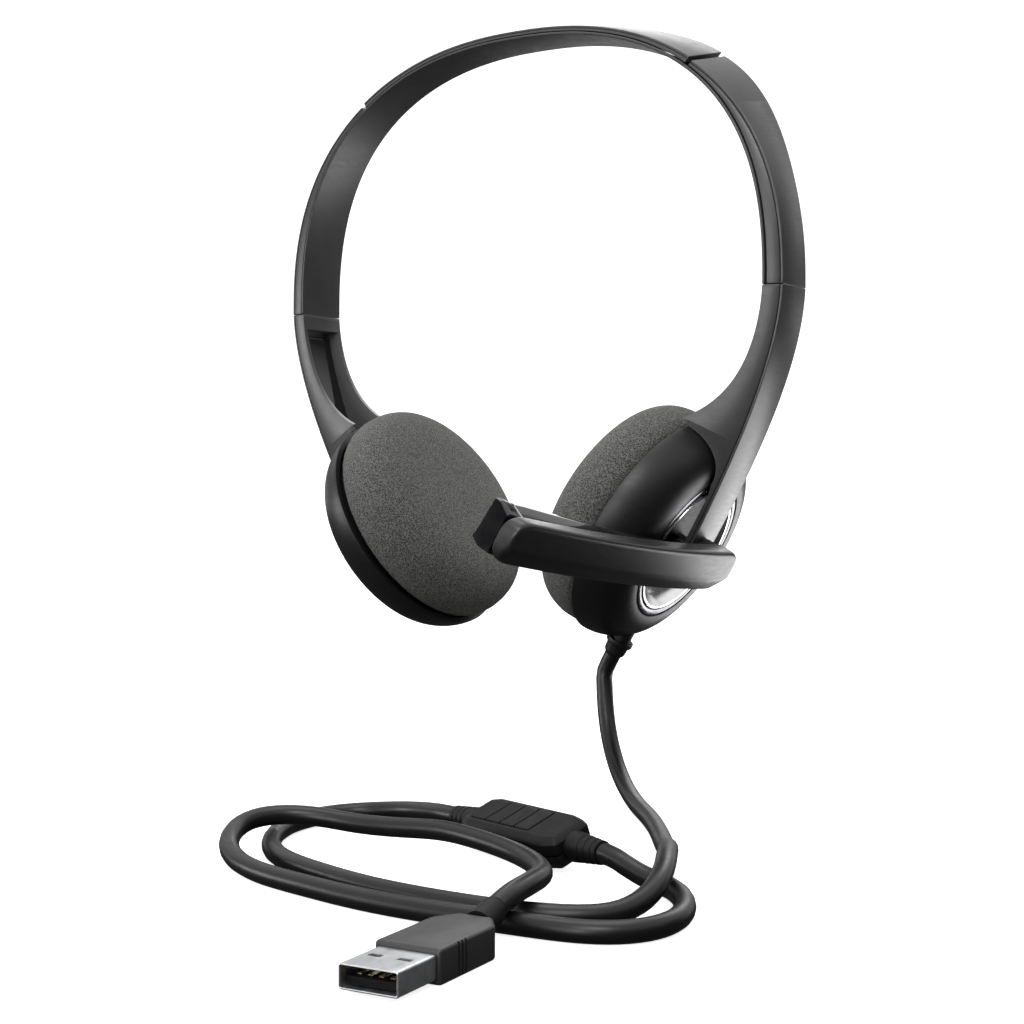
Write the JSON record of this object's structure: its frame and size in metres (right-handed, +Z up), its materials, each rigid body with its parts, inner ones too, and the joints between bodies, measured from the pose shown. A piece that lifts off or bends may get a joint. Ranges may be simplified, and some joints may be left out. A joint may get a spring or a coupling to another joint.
{
  "type": "office headset",
  "caption": "Over-the-head office headset with two foam ear cups, slider arms, a swinging microphone boom, and a USB cord with an in-line remote.",
  "frame": {"origin": "midway between the outer faces of the two ear cushions, where the wearer's head is", "axes": "+X towards the cup that carries the boom and cord, -Y the way the wearer faces, +Z up towards the crown of the headband"},
  "size_m": [0.1944, 0.2263, 0.2125],
  "materials": {
    "satin_plastic": "satin fine texture",
    "dark_plastic": "matte",
    "gloss_plastic": "high gloss",
    "foam": "open foam",
    "chrome_ring": "polished",
    "steel": "brushed",
    "cord_jacket": "smooth",
    "board": "solder mask",
    "contact": "gold plated",
    "cone": "thin film"
  },
  "bodies": {
    "cup_right": {"cup_housing_right": "satin_plastic", "cup_bezel_right": "dark_plastic", "ring_liner_right": "chrome_ring", "pivot_plate_right": "dark_plastic", "speaker_baffle_right": "dark_plastic", "diaphragm_right": "cone", "driver_basket_right": "steel", "driver_magnet_right": "steel", "ear_cushion_right": "foam", "cable_boot": "dark_plastic", "cord_upper": "cord_jacket", "cord_lower": "cord_jacket", "remote_top": "dark_plastic", "remote_bottom": "dark_plastic", "remote_board": "board", "remote_relief_left": "dark_plastic", "remote_relief_right": "dark_plastic", "plug_body": "dark_plastic", "plug_shell": "steel", "plug_tongue": "dark_plastic", "plug_relief": "dark_plastic", "plug_contact_1": "contact", "plug_contact_2": "contact", "plug_contact_3": "contact", "plug_contact_4": "contact"},
    "arm_right": {"arm_channel_right": "satin_plastic", "arm_liner_right": "gloss_plastic", "slider_strap_right": "steel", "strap_screw_right_1": "steel", "strap_screw_right_2": "steel", "hinge_pin_right": "steel", "boom_hub": "dark_plastic"},
    "headband": {"band_core": "dark_plastic", "centre_cover": "satin_plastic", "side_cover_right": "satin_plastic", "side_cover_left": "satin_plastic"},
    "arm_left": {"arm_channel_left": "satin_plastic", "arm_liner_left": "gloss_plastic", "slider_strap_left": "steel", "strap_screw_left_1": "steel", "strap_screw_left_2": "steel", "hinge_pin_left": "steel", "hub_cap": "dark_plastic"},
    "cup_left": {"cup_housing_left": "satin_plastic", "cup_bezel_left": "dark_plastic", "ring_liner_left": "chrome_ring", "pivot_plate_left": "dark_plastic", "speaker_baffle_left": "dark_plastic", "diaphragm_left": "cone", "driver_basket_left": "steel", "driver_magnet_left": "steel", "ear_cushion_left": "foam"},
    "boom": {"boom_shell": "satin_plastic", "boom_core": "gloss_plastic", "mic_capsule": "steel", "boom_axle": "steel"},
    "button_1": {"remote_button_1": "dark_plastic"},
    "button_2": {"remote_button_2": "dark_plastic"},
    "button_3": {"remote_button_3": "dark_plastic"},
    "button_4": {"remote_button_4": "dark_plastic"}
  },
  "joints": [
    {"name": "cup_tilt_right", "type": "hinge", "parent": "cup_right", "child": "arm_right", "pos_m": [0.04848, 0, -0.0134], "axis": [0, 1, 0], "range_deg": [0, 15]},
    {"name": "slider_right", "type": "slide", "parent": "arm_right", "child": "headband", "axis": [-0.0997, 0, 0.995], "range_m": [0, 0.018]},
    {"name": "slider_left", "type": "slide", "parent": "headband", "child": "arm_left", "axis": [-0.0997, 0, -0.995], "range_m": [0, 0.018]},
    {"name": "cup_tilt_left", "type": "hinge", "parent": "arm_left", "child": "cup_left", "pos_m": [-0.04848, 0, -0.0134], "axis": [0, 1, 0], "range_deg": [0, 15]},
    {"name": "boom_swing", "type": "hinge", "parent": "arm_right", "child": "boom", "pos_m": [0.05255, 0, -0.01575], "axis": [0.866, 0, -0.5], "range_deg": [-70, 30]},
    {"name": "button_press_1", "type": "slide", "parent": "cup_right", "child": "button_1", "axis": [0.1114, 0.3234, -0.9397], "range_m": [0, 0.0006], "stiffness_N_per_m": 400},
    {"name": "button_press_2", "type": "slide", "parent": "cup_right", "child": "button_2", "axis": [0.1114, 0.3234, -0.9397], "range_m": [0, 0.0006], "stiffness_N_per_m": 400},
    {"name": "button_press_3", "type": "slide", "parent": "cup_right", "child": "button_3", "axis": [0.1114, 0.3234, -0.9397], "range_m": [0, 0.0006], "stiffness_N_per_m": 400},
    {"name": "button_press_4", "type": "slide", "parent": "cup_right", "child": "button_4", "axis": [0.1114, 0.3234, -0.9397], "range_m": [0, 0.0006], "stiffness_N_per_m": 400}
  ]
}
